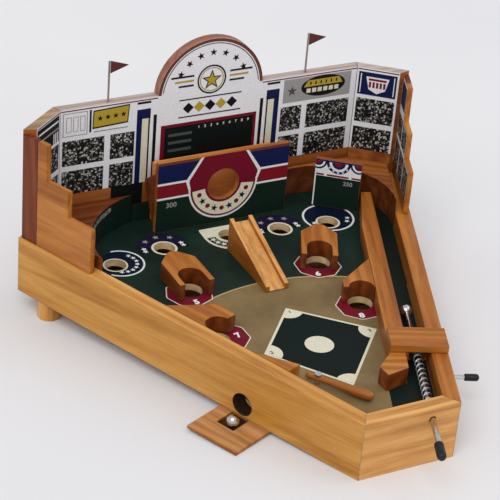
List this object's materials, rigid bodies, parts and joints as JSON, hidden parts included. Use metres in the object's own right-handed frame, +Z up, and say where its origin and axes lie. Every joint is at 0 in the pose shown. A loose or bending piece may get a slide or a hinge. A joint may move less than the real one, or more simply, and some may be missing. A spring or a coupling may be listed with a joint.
{
  "type": "wooden tabletop pinball game",
  "caption": "Fan-shaped wooden tabletop pinball game with a baseball field, spring plunger, swinging bat, outfield walls, ramp, ball tray and a stepped backdrop with an arched top.",
  "frame": {"origin": "middle of the footprint, on the surface that the game stands on", "axes": "+Z up, the player's narrow end at -Y, the backdrop at +Y; the box itself is tilted 3.27 degrees down to the front"},
  "size_m": [0.25, 0.2806, 0.1482],
  "materials": {
    "honey_wood": "clear varnish, satin",
    "brown_wood": "stained, satin",
    "plywood": "bare",
    "field_print": "printed hardboard, satin",
    "panel_print": "printed board, satin",
    "steel": "polished",
    "black_rubber": "matte",
    "maroon": "painted, matte"
  },
  "bodies": {
    "game_base": {"front_wall": "honey_wood", "right_wall": "honey_wood", "left_wall": "honey_wood", "right_wing_wall": "honey_wood", "back_wall": "honey_wood", "left_wing_wall": "honey_wood", "playfield": "field_print", "bottom_board": "plywood", "right_cleat": "plywood", "left_cleat": "plywood", "return_wedge": "plywood", "foot_left": "honey_wood", "foot_right": "honey_wood", "ball_tray": "brown_wood", "lane_divider": "honey_wood", "plunger_bridge": "honey_wood", "plunger_guide": "honey_wood", "plunger_side_block": "honey_wood", "corner_guide_right": "brown_wood", "corner_guide_left": "brown_wood", "outfield_wall_center": "honey_wood", "outfield_bracket_left": "honey_wood", "outfield_bracket_right": "honey_wood", "home_run_backstop": "honey_wood", "outfield_wall_right": "honey_wood", "home_run_ramp": "honey_wood", "pocket_block_1": "honey_wood", "pocket_block_2": "honey_wood", "pocket_block_3": "honey_wood", "pocket_block_4": "honey_wood", "wall_rail": "honey_wood", "plunger_spring": "steel", "bat_spring": "steel", "bat_rod_guide": "plywood", "back_panel": "panel_print", "wing_panel_right": "panel_print", "wing_panel_left": "panel_print", "corner_post_right": "brown_wood", "corner_post_left": "brown_wood", "side_panel_right": "honey_wood", "side_panel_left": "honey_wood", "pennant_pole_left": "brown_wood", "pennant_flag_left": "maroon", "pennant_pole_right": "brown_wood", "pennant_flag_right": "maroon"},
    "plunger": {"plunger_rod": "steel", "plunger_knob": "black_rubber", "plunger_collar": "steel"},
    "bat_push_rod": {"bat_rod": "steel", "bat_rod_knob": "black_rubber", "bat_rod_collar": "steel"},
    "swinging_bat": {"bat": "honey_wood", "bat_pin": "steel", "bat_crank": "steel"},
    "ball_in_lane": {"lane_ball": "steel"},
    "ball_in_tray": {"tray_ball": "steel"}
  },
  "joints": [
    {"name": "plunger_slide", "type": "slide", "parent": "game_base", "child": "plunger", "axis": [-0.392, -0.9185, -0.0525], "range_m": [0, 0.022], "stiffness_N_per_m": 120, "springref_m": -0.012, "deforming": ["plunger_spring"]},
    {"name": "bat_rod_slide", "type": "slide", "parent": "game_base", "child": "bat_push_rod", "axis": [-0.92, 0.3914, 0.0224], "range_m": [0, 0.01098], "stiffness_N_per_m": 150, "springref_m": -0.008, "deforming": ["bat_spring"]},
    {"name": "bat_swing", "type": "hinge", "parent": "game_base", "child": "swinging_bat", "pos_m": [-0.025, -0.05556, 0.02275], "axis": [0, -0.0571, 0.9984], "range_deg": [0, 50.2]},
    {"name": "lane_ball_slide", "type": "slide", "parent": "game_base", "child": "ball_in_lane", "axis": [0.392, 0.9185, 0.0525], "range_m": [0, 0.095]},
    {"name": "tray_ball_lift", "type": "slide", "parent": "game_base", "child": "ball_in_tray", "axis": [0, 0, 1], "range_m": [0, 0.03]}
  ],
  "couplings": [
    {"joint": "bat_swing", "follows": "bat_rod_slide", "rad_per_m": 79.42}
  ]
}
